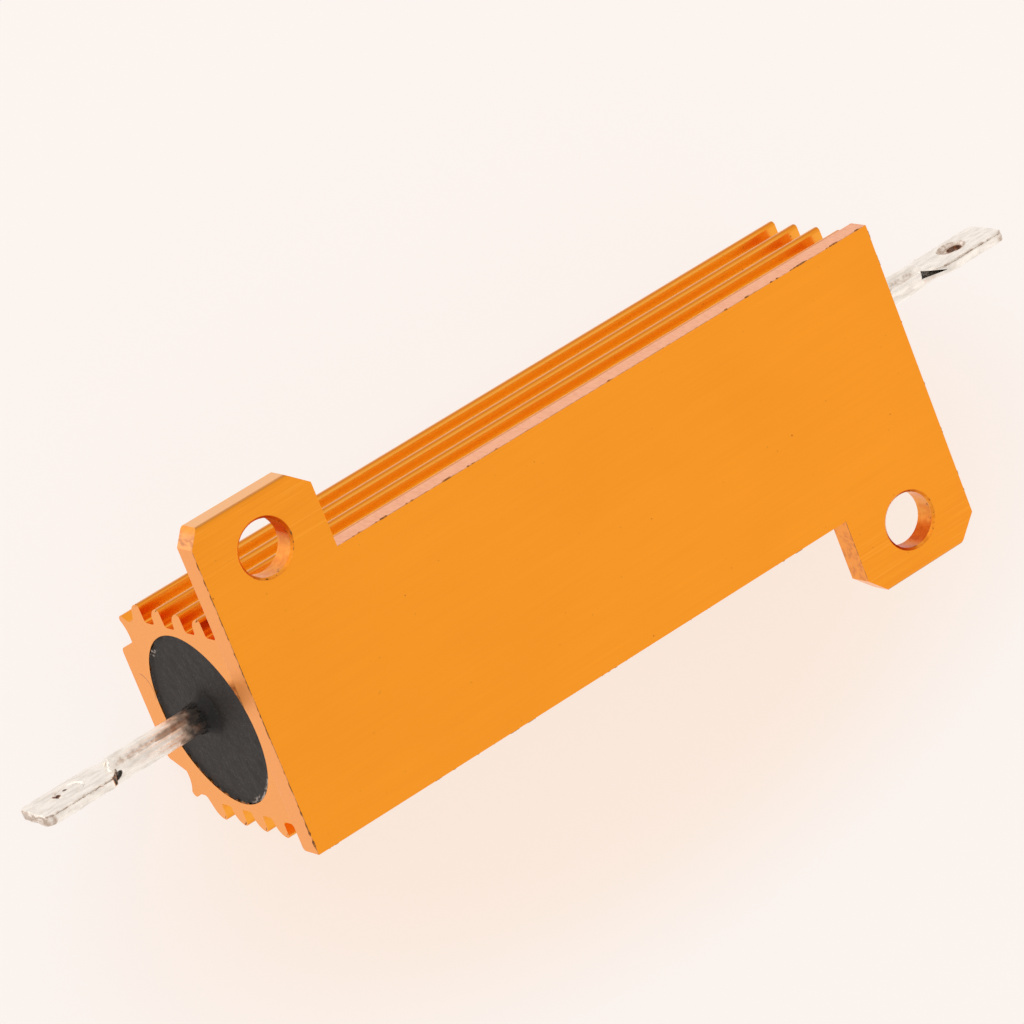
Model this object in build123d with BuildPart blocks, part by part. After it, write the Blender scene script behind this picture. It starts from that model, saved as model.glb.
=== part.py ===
from build123d import *
import os

os.makedirs("parts", exist_ok=True)

# The mounting face lies in z = 0, X runs along the extrusion and Z points away from the bolted surface.
# One tab stands at (-X, -Y), the other at (+X, +Y).

# Body of the extrusion
body_length = 50.0
body_height = 14.9
plate_thickness = 1.75
narrow_width = 16.0
flange_width = 27.0
flange_edge_radius = 0.25
sawn_edge_radius = 0.25
bore_radius = 5.72
bore_height = 7.24

# Cooling grooves, the same four on each side
groove_count = 4
groove_pitch = 2.43
groove_mouth = 1.15
groove_floor = 6.22
groove_corner = 0.22
fin_tip = 7.4
fin_shoulder = 6.8

# Shallow notch above the top fin, corner fin and raised label pad
notch_floor = 5.95
notch_top = 12.4
corner_fin_tip = 6.25
corner_fin_height = 13.5
pad_root = 4.45
pad_root_height = 13.0
pad_half_width = 3.92
pad_edge_radius = 0.45

# Mounting tabs, left where the rest of the flange was sawn away; each pair is a corner's cut along X and Y
tab_length = 8.7
tab_end_cut = (1.5, 1.5)
tab_inner_cut = (1.2, 1.25)
other_end_cut = (0.8, 1.1)
other_inner_cut = (1.4, 1.2)
hole_x = 20.6
hole_y = 10.22
hole_radius = 1.75
hole_edge_break = 0.15

# Resistor element, cast into the bore a little off its middle
element_offset = -0.45
core_radius = 3.2
core_length = 36.0
cap_wall = 0.35
cap_depth = 4.6
ribbon_thickness = 0.2
ribbon_width = 1.0
ribbon_turns = 5
moulding_recess = 0.2
collar_radius = 1.45
collar_height = 0.5

# Terminals, rolled from strip and pressed flat at the outer end
shank_radius = 0.925
strip_thickness = 0.35
seam_width = 0.22
neck_start = 31.2
lug_start = 32.6
lug_end = 37.7
lug_width = 3.6
lug_thickness = 0.72
lug_corner = 0.55
mouth_start = 31.5
mouth_end = 33.0
mouth_width = 0.34
mouth_depth = 0.5
eye_x = 34.8
eye_radius = 1.03
eye_lift = 0.25

# Sizes that follow from the ones above
half_length = body_length / 2
half_flange = flange_width / 2
half_narrow = narrow_width / 2
core_end = core_length / 2
cap_radius = core_radius + cap_wall
cap_end = core_end + cap_wall
cap_rim = core_end - cap_depth
moulding_half = half_length - moulding_recess
winding_height = 2 * cap_rim - ribbon_width
winding_radius = core_radius + ribbon_thickness / 2
winding_pitch = winding_height / ribbon_turns
winding_start = (-winding_height / 2, element_offset, bore_height)
groove_overlap = 0.1
arc_share = 0.293
element_axis = (element_offset, bore_height)


# Housing: one extrusion, its flange sawn back to two tabs
with BuildPart() as housing:
    with BuildSketch(Plane.YZ.offset(-half_length)):
        with BuildLine():
            bend = flange_edge_radius
            share = arc_share * bend
            plate = plate_thickness
            Line((0, 0), (half_flange - bend, 0))
            ThreePointArc((half_flange - bend, 0), (half_flange - share, share), (half_flange, bend))
            Line((half_flange, bend), (half_flange, plate - bend))
            ThreePointArc(
                (half_flange, plate - bend),
                (half_flange - share, plate - share),
                (half_flange - bend, plate),
            )
            Line((half_flange - bend, plate), (groove_floor + groove_corner, plate))
            for index in range(groove_count):
                level = plate + index * groove_pitch
                roof = level + groove_mouth
                crown = level + groove_pitch
                near = groove_floor + groove_corner
                rise = arc_share * groove_corner
                deep = groove_floor + rise
                ThreePointArc((near, level), (deep, level + rise), (groove_floor, level + groove_corner))
                Line((groove_floor, level + groove_corner), (groove_floor, roof - groove_corner))
                ThreePointArc((groove_floor, roof - groove_corner), (deep, roof - rise), (near, roof))
                Line((near, roof), (fin_tip - 0.2, roof + 0.03))
                ThreePointArc(
                    (fin_tip - 0.2, roof + 0.03),
                    (fin_tip - 0.05, roof + 0.12),
                    (fin_tip, roof + 0.3),
                )
                ThreePointArc(
                    (fin_tip, roof + 0.3),
                    (fin_tip - 0.18, roof + 0.84),
                    (fin_shoulder, crown - 0.08),
                )
                if index < groove_count - 1:
                    Line((fin_shoulder, crown - 0.08), (near, crown))
            top = plate + groove_count * groove_pitch
            Line((fin_shoulder, top - 0.08), (notch_floor + 0.25, top + 0.2))
            ThreePointArc(
                (notch_floor + 0.25, top + 0.2),
                (notch_floor + 0.05, top + 0.35),
                (notch_floor, top + 0.6),
            )
            Line((notch_floor, top + 0.6), (notch_floor, notch_top))
            Line((notch_floor, notch_top), (corner_fin_tip, corner_fin_height - 0.4))
            ThreePointArc(
                (corner_fin_tip, corner_fin_height - 0.4),
                (corner_fin_tip - 0.08, corner_fin_height - 0.1),
                (corner_fin_tip - 0.35, corner_fin_height),
            )
            ThreePointArc(
                (corner_fin_tip - 0.35, corner_fin_height),
                (pad_root + 0.7, pad_root_height + 0.12),
                (pad_root, pad_root_height + 0.1),
            )
            shoulder = body_height - pad_edge_radius
            Line((pad_root, pad_root_height + 0.1), (pad_half_width, shoulder))
            ThreePointArc(
                (pad_half_width, shoulder),
                (pad_half_width - 0.17, body_height - 0.12),
                (pad_half_width - pad_edge_radius, body_height),
            )
            Line((pad_half_width - pad_edge_radius, body_height), (0, body_height))
            Line((0, body_height), (0, 0))
        make_face()
        mirror(about=Plane.YZ)
        with Locations((0, bore_height)):
            Circle(bore_radius, mode=Mode.SUBTRACT)
    extrude(amount=body_length)
    with BuildSketch(Plane.XY):
        with BuildLine():
            Polyline(
                (-half_length, half_narrow),
                (half_length - tab_length, half_narrow),
                (half_length - tab_length, half_flange - tab_inner_cut[1]),
                (half_length - tab_length + tab_inner_cut[0], half_flange),
                (half_length - tab_end_cut[0], half_flange),
                (half_length, half_flange - tab_end_cut[1]),
                (half_length, -half_narrow),
                (tab_length - half_length, -half_narrow),
                (tab_length - half_length, other_inner_cut[1] - half_flange),
                (tab_length - half_length - other_inner_cut[0], -half_flange),
                (other_end_cut[0] - half_length, -half_flange),
                (-half_length, other_end_cut[1] - half_flange),
                close=True,
            )
        make_face()
    extrude(amount=body_height, mode=Mode.INTERSECT)
    sawn = [
        edge
        for edge in housing.edges().filter_by(Axis.X)
        if abs(abs(edge.center().Y) - half_narrow) < 0.01 and abs(edge.center().Z - plate_thickness) < 0.01
    ]
    fillet(sawn, sawn_edge_radius)
    with BuildSketch(Plane.XY):
        with Locations((hole_x, hole_y), (-hole_x, -hole_y)):
            Circle(hole_radius)
    extrude(amount=plate_thickness, mode=Mode.SUBTRACT)
    rims = [
        edge
        for edge in housing.edges().filter_by(GeomType.CIRCLE)
        if abs(edge.radius - hole_radius) < 0.001 and abs(edge.center().Y) > half_narrow
    ]
    chamfer(rims, hole_edge_break)

# Ceramic core
with BuildPart() as ceramic_core:
    with BuildSketch(Plane.YZ.offset(-core_end)):
        with Locations(element_axis):
            Circle(core_radius)
    extrude(amount=core_length)

# Resistance winding, one ribbon from cap to cap
with BuildPart() as resistance_winding:
    with BuildLine() as ribbon_path:
        Helix(winding_pitch, winding_height, winding_radius, center=winding_start, direction=(1, 0, 0))
    ribbon_plane = Plane(
        origin=ribbon_path.line @ 0,
        x_dir=(ribbon_path.line @ 0) - Vector(*winding_start),
        z_dir=ribbon_path.line % 0,
    )
    with BuildSketch(ribbon_plane):
        Rectangle(ribbon_thickness, ribbon_width)
    sweep(is_frenet=True)

# End caps, pressed over the core's ends
with BuildPart() as end_cap_right:
    with BuildSketch(Plane.YZ.offset(cap_rim)):
        with Locations(element_axis):
            Circle(cap_radius)
            Circle(core_radius, mode=Mode.SUBTRACT)
    extrude(amount=cap_depth)
    with BuildSketch(Plane.YZ.offset(core_end)):
        with Locations(element_axis):
            Circle(cap_radius)
    extrude(amount=cap_wall)

with BuildPart() as end_cap_left:
    add(mirror(end_cap_right.part, about=Plane.YZ))

# Terminals: a rolled shank with its seam towards (-Y, -Z), opening into a mouth and a flattened lug
with BuildPart() as terminal_right:
    with BuildSketch(Plane.YZ.offset(neck_start)) as neck:
        with Locations(element_axis):
            RectangleRounded(2 * shank_radius, 2 * shank_radius, 0.92 * shank_radius)
    with BuildSketch(Plane.YZ.offset(lug_start)) as flat:
        with Locations(element_axis):
            RectangleRounded(lug_thickness, lug_width, lug_thickness / 2 - 0.06)
    loft(ruled=True)
    extrude(flat.sketch, amount=lug_end - lug_start)
    with BuildSketch(Plane.XZ.offset(-element_offset - lug_thickness)):
        with Locations((eye_x, bore_height + eye_lift)):
            Circle(eye_radius)
        for side in (-1, 1):
            with BuildLine():
                Polyline(
                    (lug_end - lug_corner, bore_height + side * lug_width / 2),
                    (lug_end, bore_height + side * (lug_width / 2 - lug_corner)),
                    (lug_end, bore_height + side * lug_width / 2),
                    close=True,
                )
            make_face()
    extrude(amount=2 * lug_thickness, mode=Mode.SUBTRACT)
    with BuildSketch(Plane.YZ.offset(cap_end)):
        with Locations(element_axis):
            Circle(shank_radius)
    extrude(amount=neck_start - cap_end)
    with BuildSketch(Plane.YZ.offset(cap_end)):
        with Locations(element_axis):
            Circle(shank_radius - strip_thickness)
    extrude(amount=mouth_start - cap_end + 0.2, mode=Mode.SUBTRACT)
    with Locations((cap_end, element_offset, bore_height)):
        Box(
            mouth_start - cap_end,
            2 * shank_radius,
            seam_width,
            rotation=(45, 0, 0),
            align=(Align.MIN, Align.MAX, Align.CENTER),
            mode=Mode.SUBTRACT,
        )
    with Locations((mouth_start, element_offset, bore_height - mouth_depth)):
        Box(
            mouth_end - mouth_start,
            mouth_width,
            lug_width,
            align=(Align.MIN, Align.CENTER, Align.MAX),
            mode=Mode.SUBTRACT,
        )

with BuildPart() as terminal_left:
    add(mirror(terminal_right.part, about=Plane.YZ))

# Room for the ribbon in the moulding, reaching a little below the core's surface
with BuildPart() as ribbon_groove:
    with BuildSketch(ribbon_plane):
        with Locations((-groove_overlap / 2, 0)):
            Rectangle(ribbon_thickness + groove_overlap, ribbon_width)
    sweep(path=ribbon_path.line, is_frenet=True)

# Black moulding round the element, with a torn collar climbing each shank
with BuildPart() as moulding:
    with BuildSketch(Plane.YZ.offset(-moulding_half)):
        with Locations((0, bore_height)):
            Circle(bore_radius)
    extrude(amount=2 * moulding_half)
    for side in (-1, 1):
        foot = (side * moulding_half, element_offset, bore_height)
        with Locations(Plane(origin=foot, z_dir=(side, 0, 0))):
            Cone(
                collar_radius,
                shank_radius + 0.12,
                collar_height,
                align=(Align.CENTER, Align.CENTER, Align.MIN),
            )
    hollows = (
        (core_radius, -cap_rim, cap_rim),
        (cap_radius, cap_rim, cap_end),
        (cap_radius, -cap_end, -cap_rim),
        (shank_radius, cap_end, half_length + 1),
        (shank_radius, -half_length - 1, -cap_end),
    )
    for radius, low, high in hollows:
        with BuildSketch(Plane.YZ.offset(low)):
            with Locations(element_axis):
                Circle(radius)
        extrude(amount=high - low, mode=Mode.SUBTRACT)
    add(ribbon_groove.part, mode=Mode.SUBTRACT)

housing.part.label = "housing"
moulding.part.label = "moulding"
ceramic_core.part.label = "ceramic_core"
resistance_winding.part.label = "resistance_winding"
end_cap_left.part.label = "end_cap_left"
end_cap_right.part.label = "end_cap_right"
terminal_left.part.label = "terminal_left"
terminal_right.part.label = "terminal_right"

export_step(housing.part, "parts/housing.step")
export_step(moulding.part, "parts/moulding.step")
export_step(ceramic_core.part, "parts/ceramic_core.step")
export_step(resistance_winding.part, "parts/resistance_winding.step")
export_step(end_cap_left.part, "parts/end_cap_left.step")
export_step(end_cap_right.part, "parts/end_cap_right.step")
export_step(terminal_left.part, "parts/terminal_left.step")
export_step(terminal_right.part, "parts/terminal_right.step")
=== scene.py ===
"""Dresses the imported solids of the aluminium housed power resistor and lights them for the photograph's view.

Lengths in the classes are millimetres and angles are radians; meshes are handed to Blender in metres.
X runs along the extrusion, the mounting face lies in z = 0 and Z points away from the bolted surface.
"""

import logging
import math
from dataclasses import dataclass
from enum import Enum
from functools import partial, reduce

import bpy
import numpy as np
from mathutils import Matrix, Vector


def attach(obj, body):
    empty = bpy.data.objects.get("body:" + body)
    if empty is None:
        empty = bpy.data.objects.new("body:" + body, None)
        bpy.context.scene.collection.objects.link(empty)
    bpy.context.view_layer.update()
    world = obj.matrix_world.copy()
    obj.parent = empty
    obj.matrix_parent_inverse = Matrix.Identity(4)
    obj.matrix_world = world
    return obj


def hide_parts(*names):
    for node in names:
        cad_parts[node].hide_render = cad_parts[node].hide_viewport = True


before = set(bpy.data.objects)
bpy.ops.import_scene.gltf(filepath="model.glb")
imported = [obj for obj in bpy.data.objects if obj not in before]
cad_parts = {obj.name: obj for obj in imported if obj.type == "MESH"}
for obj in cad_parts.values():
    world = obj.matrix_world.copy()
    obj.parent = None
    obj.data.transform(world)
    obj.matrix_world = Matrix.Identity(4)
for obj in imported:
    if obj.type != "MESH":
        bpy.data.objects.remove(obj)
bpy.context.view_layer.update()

LOG = logging.getLogger("resistor")
MM = 0.001
BODY = "root"


# ---------------------------------------------------------------- helpers


def linear(code: str) -> tuple[float, float, float, float]:
    """Turns an sRGB hex colour into the linear RGBA that a shader socket takes.

    Args:
        code: six hex digits, such as "F39824".

    Returns:
        Red, green, blue and an alpha of 1.
    """
    channels = [int(code[i : i + 2], 16) / 255 for i in (0, 2, 4)]
    r, g, b = [c / 12.92 if c <= 0.04045 else ((c + 0.055) / 1.055) ** 2.4 for c in channels]
    return (r, g, b, 1.0)


def add_node(tree: bpy.types.NodeTree, kind: str, inputs: dict | None = None, **settings) -> bpy.types.Node:
    """Adds one node, sets its properties, and fills or links its inputs.

    Args:
        tree: the node tree that gets the node.
        kind: the node's bl_idname.
        inputs: socket name or index to a value, or to an output socket to link from.
        **settings: properties of the node itself, such as operation or blend_type.

    Returns:
        The new node.
    """
    node = tree.nodes.new(kind)
    for key, value in settings.items():
        setattr(node, key, value)
    for key, value in (inputs or {}).items():
        socket = node.inputs[key]
        if isinstance(value, bpy.types.NodeSocket):
            tree.links.new(value, socket)
        else:
            socket.default_value = value
    return node


def ripple(points: np.ndarray, wave: float, seed: int, octaves: int = 3) -> np.ndarray:
    """Smooth seeded noise: a sum of sine waves in random directions, halved in length and height per octave.

    Args:
        points: array (..., k) of positions in millimetres.
        wave: longest wave in millimetres.
        seed: seed of the random directions and phases.
        octaves: how many times the wave is halved.

    Returns:
        Array (...) of values in about -1 to 1.
    """
    rng = np.random.default_rng(seed)
    total = np.zeros(points.shape[:-1])
    for octave in range(octaves):
        for _ in range(9):
            way = rng.normal(size=points.shape[-1])
            way *= 2 * math.pi * 2**octave / (wave * np.linalg.norm(way))
            total += np.sin(points @ way + rng.uniform(0, 2 * math.pi)) / (3.6 * 2**octave)
    return total


def smooth(value: np.ndarray, low: float, high: float) -> np.ndarray:
    """Eases from 0 at low to 1 at high with a cubic: 3t^2 - 2t^3 of the clipped share t."""
    share = np.clip((value - low) / (high - low), 0, 1)
    return share * share * (3 - 2 * share)


def full_turn(count: int) -> np.ndarray:
    """Returns count angles that go evenly round a circle."""
    return np.linspace(0, 2 * math.pi, count + 1)[:-1]


def unit(vectors: np.ndarray) -> np.ndarray:
    """Scales each row to a length of 1."""
    return vectors / np.linalg.norm(vectors, axis=-1, keepdims=True)


class Ends(Enum):
    """How the first and last rows of a grid are closed."""

    FAN = "fan"
    LOOP = "loop"


def grid_mesh(name: str, points: np.ndarray, ends: Ends = Ends.FAN) -> bpy.types.Mesh:
    """Makes a closed mesh from a grid of rings.

    Args:
        name: name of the mesh.
        points: array (rows, columns, 3) in millimetres; each row is one closed ring.
        ends: a fan closes each end row to its middle, and a loop joins the last row to the first.

    Returns:
        The mesh in metres, its faces quads except for the fans.
    """
    rows, columns, _ = points.shape
    index = np.arange(rows * columns).reshape(rows, columns)
    lower = index if ends is Ends.LOOP else index[:-1]
    upper = np.roll(index, -1, axis=0) if ends is Ends.LOOP else index[1:]
    quads = np.stack([lower, np.roll(lower, -1, axis=1), np.roll(upper, -1, axis=1), upper], axis=-1)
    faces = quads.reshape(-1, 4).tolist()
    vertices = points.reshape(-1, 3)
    if ends is Ends.FAN:
        vertices = np.vstack([vertices, points[0].mean(axis=0), points[-1].mean(axis=0)])
        first, last = index[0], index[-1]
        start = np.stack([np.roll(first, -1), first, np.full(columns, rows * columns)], axis=-1)
        finish = np.stack([last, np.roll(last, -1), np.full(columns, rows * columns + 1)], axis=-1)
        faces += start.tolist() + finish.tolist()
    mesh = bpy.data.meshes.new(name)
    mesh.from_pydata((vertices * MM).tolist(), [], faces)
    mesh.validate()
    return mesh


def positions(mesh: bpy.types.Mesh) -> np.ndarray:
    """Returns the mesh's vertices as an array (count, 3) in millimetres."""
    places = np.empty(len(mesh.vertices) * 3)
    mesh.vertices.foreach_get("co", places)
    return places.reshape(-1, 3) / MM


def outward(mesh: bpy.types.Mesh) -> None:
    """Turns a closed mesh's faces outwards if its signed volume says that they point inwards."""
    mesh.calc_loop_triangles()
    corners = np.empty(len(mesh.loop_triangles) * 3, dtype=np.int64)
    mesh.loop_triangles.foreach_get("vertices", corners)
    places = positions(mesh)
    a, b, c = (places[corners.reshape(-1, 3)[:, k]] for k in range(3))
    if np.einsum("ij,ij->i", a, np.cross(b, c)).sum() < 0:
        mesh.flip_normals()


def add_object(name: str, data: bpy.types.ID) -> bpy.types.Object:
    """Makes an object of a mesh, camera or light and links it to the scene."""
    made = bpy.data.objects.new(name, data)
    bpy.context.scene.collection.objects.link(made)
    return made


def place(mesh: bpy.types.Mesh, name: str, material: bpy.types.Material, sharp: float) -> bpy.types.Object:
    """Puts a finished mesh into the scene as a smooth-shaded piece that rides on the body.

    Args:
        mesh: the mesh, already in place.
        name: name of the piece.
        material: its finish.
        sharp: angle above which an edge stays sharp.

    Returns:
        The object, which sits at the origin.
    """
    outward(mesh)
    mesh.materials.clear()
    mesh.materials.append(material)
    mesh.shade_smooth()
    mesh.set_sharp_from_angle(angle=sharp)
    piece = add_object(name, mesh)
    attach(piece, BODY)
    LOG.info("%s: %d faces", name, len(mesh.polygons))
    return piece


def write_attribute(mesh: bpy.types.Mesh, name: str, values: np.ndarray) -> None:
    """Stores one float per vertex, clipped to 0..1, for a material to read."""
    layer = mesh.attributes.new(name, "FLOAT", "POINT")
    layer.data.foreach_set("value", np.clip(values, 0, 1).astype(np.float32))


def cut_away(mesh: bpy.types.Mesh, cutters: list[bpy.types.Mesh]) -> bpy.types.Mesh:
    """Subtracts closed cutter meshes from a closed mesh with an exact boolean.

    Args:
        mesh: the mesh to cut, which is removed.
        cutters: closed meshes, which are removed as well.

    Returns:
        The cut mesh.
    """
    block = add_object("block", mesh)
    helpers = [add_object("helper", cutter) for cutter in cutters]
    for helper in helpers:
        outward(helper.data)
        step = block.modifiers.new("cut", "BOOLEAN")
        step.operation = "DIFFERENCE"
        step.solver = "EXACT"
        step.object = helper
    outward(mesh)
    bpy.context.view_layer.update()
    result = bpy.data.meshes.new_from_object(block.evaluated_get(bpy.context.evaluated_depsgraph_get()))
    for item in [block, *helpers]:
        old = item.data
        bpy.data.objects.remove(item)
        bpy.data.meshes.remove(old)
    return result


# ---------------------------------------------------------------- finishes


class Sheet:
    """Short words for the sums that a finish works out in its node tree, with lengths in millimetres."""

    def __init__(self, tree: bpy.types.NodeTree) -> None:
        """Reads Object coordinates once, in millimetres, and the object-space normal.

        Args:
            tree: the node tree that gets the nodes.
        """
        self.tree = tree
        source = add_node(tree, "ShaderNodeTexCoord")
        inputs = {0: source.outputs["Object"], "Scale": 1 / MM}
        self.place = add_node(tree, "ShaderNodeVectorMath", inputs, operation="SCALE").outputs[0]
        self.x, self.y, self.z = add_node(tree, "ShaderNodeSeparateXYZ", {0: self.place}).outputs
        self.nx, self.ny, self.nz = add_node(tree, "ShaderNodeSeparateXYZ", {0: source.outputs["Normal"]}).outputs

    def math(self, operation: str, a: object, b: object = 0.0, c: object = 0.0) -> object:
        """Adds one Math node and returns its result; a, b and c are numbers or sockets."""
        return add_node(self.tree, "ShaderNodeMath", {0: a, 1: b, 2: c}, operation=operation).outputs[0]

    def times(self, *factors: object) -> object:
        """Multiplies numbers and sockets."""
        return reduce(partial(self.math, "MULTIPLY"), factors)

    def scale_add(self, value: object, factor: object, addend: object) -> object:
        """Returns value * factor + addend."""
        return self.math("MULTIPLY_ADD", value, factor, addend)

    def size(self, value: object) -> object:
        """Returns the value without its sign."""
        return self.math("ABSOLUTE", value)

    def rest(self, mask: object) -> object:
        """Returns what a mask leaves over: 1 - mask."""
        return self.math("SUBTRACT", 1.0, mask)

    def reach(self, a: object, b: object, middle: tuple[float, float] = (0.0, 0.0)) -> object:
        """Returns the distance of (a, b) from the middle: sqrt((a - middle[0])^2 + (b - middle[1])^2)."""
        a, b = self.math("SUBTRACT", a, middle[0]), self.math("SUBTRACT", b, middle[1])
        return self.math("SQRT", self.scale_add(a, a, self.times(b, b)))

    def ease(self, value: object, low: float, high: float) -> object:
        """Eases from 0 at low to 1 at high; low may be above high, which turns it round."""
        flip = low > high
        ends = (high, low) if flip else (low, high)
        inputs = {"Value": value, 1: ends[0], 2: ends[1], 3: float(flip), 4: float(not flip)}
        return add_node(self.tree, "ShaderNodeMapRange", inputs, interpolation_type="SMOOTHSTEP").outputs[0]

    def stretch(self, x: float, y: float, z: float, at: object = None) -> object:
        """Scales a place unevenly, so that noise on it becomes streaks along the axis with the least number."""
        inputs = {0: at or self.place, 1: (x, y, z)}
        return add_node(self.tree, "ShaderNodeVectorMath", inputs, operation="MULTIPLY").outputs[0]

    def slant(self, angle: float, length: float) -> object:
        """Turns the place about Z and squeezes it along the new X, so that specks on it become short scratches."""
        turned = add_node(self.tree, "ShaderNodeVectorRotate", {0: self.place, "Angle": angle}, rotation_type="Z_AXIS")
        return self.stretch(1 / length, 1.0, 1.0, turned.outputs[0])

    def noise(self, wave: float, detail: float = 2.0, at: object = None, rough: float = 0.5) -> object:
        """Noise from 0 to 1 whose lumps are about wave millimetres across.

        Args:
            wave: size of a lump, in the units of the place it reads.
            detail: how many finer layers it has.
            at: the place to read, in place of the Object coordinates.
            rough: how strong the finer layers are.

        Returns:
            The noise's output socket.
        """
        inputs = {"Vector": at or self.place, "Scale": 1 / wave, "Detail": detail, "Roughness": rough}
        return add_node(self.tree, "ShaderNodeTexNoise", inputs).outputs["Fac"]

    def blend(self, share: object, a: object, b: object) -> object:
        """Mixes colour a towards colour b by share; a and b are hex codes or sockets."""
        a, b = (linear(colour) if isinstance(colour, str) else colour for colour in (a, b))
        return add_node(self.tree, "ShaderNodeMix", {0: share, 6: a, 7: b}, data_type="RGBA").outputs[2]

    def cells(self, at: object, spacing: float) -> tuple[object, object, object]:
        """Divides space into cells round random middles.

        Args:
            at: the place to read.
            spacing: size of a cell in millimetres.

        Returns:
            The distance from the cell's middle, in cells, and the cell's own two random numbers from 0 to 1.
        """
        cell = add_node(self.tree, "ShaderNodeTexVoronoi", {"Vector": at, "Scale": 1 / spacing})
        pick = add_node(self.tree, "ShaderNodeSeparateColor", {0: cell.outputs["Color"]})
        return cell.outputs["Distance"], pick.outputs[0], pick.outputs[1]

    def specks(self, at: object, spacing: float, radius: float, rarity: float) -> object:
        """Makes sparse round specks, only in the cells whose first random number is above rarity.

        Args:
            at: the place to read.
            spacing: size of a cell in millimetres.
            radius: largest radius of a speck in millimetres.
            rarity: share of the cells that stay empty.

        Returns:
            A mask that is 1 in the specks.
        """
        distance, first, second = self.cells(at, spacing)
        inside = self.math("LESS_THAN", distance, self.times(second, radius / spacing))
        return self.times(inside, self.math("GREATER_THAN", first, rarity))

    def attribute(self, name: str) -> object:
        """Reads one of the piece's own float attributes."""
        return add_node(self.tree, "ShaderNodeAttribute", attribute_name=name).outputs["Fac"]

    def bump(self, height: object, depth: float) -> object:
        """Turns a height from 0 to 1 into a normal; depth is the height's size in millimetres."""
        return add_node(self.tree, "ShaderNodeBump", {"Height": height, "Distance": depth * MM}).outputs[0]

    def surface(self, inputs: dict) -> None:
        """Ends the tree with a Principled shader; inputs maps its sockets' names to numbers or sockets."""
        shader = add_node(self.tree, "ShaderNodeBsdfPrincipled", inputs)
        add_node(self.tree, "ShaderNodeOutputMaterial", {"Surface": shader.outputs[0]})


def start_material(name: str) -> tuple[bpy.types.Material, Sheet]:
    """Makes a material with an empty node tree.

    Args:
        name: the finish's plain name.

    Returns:
        The material and the sheet that fills its tree.
    """
    material = bpy.data.materials.new(name)
    material.use_nodes = True
    material.node_tree.nodes.clear()
    return material, Sheet(material.node_tree)


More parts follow.
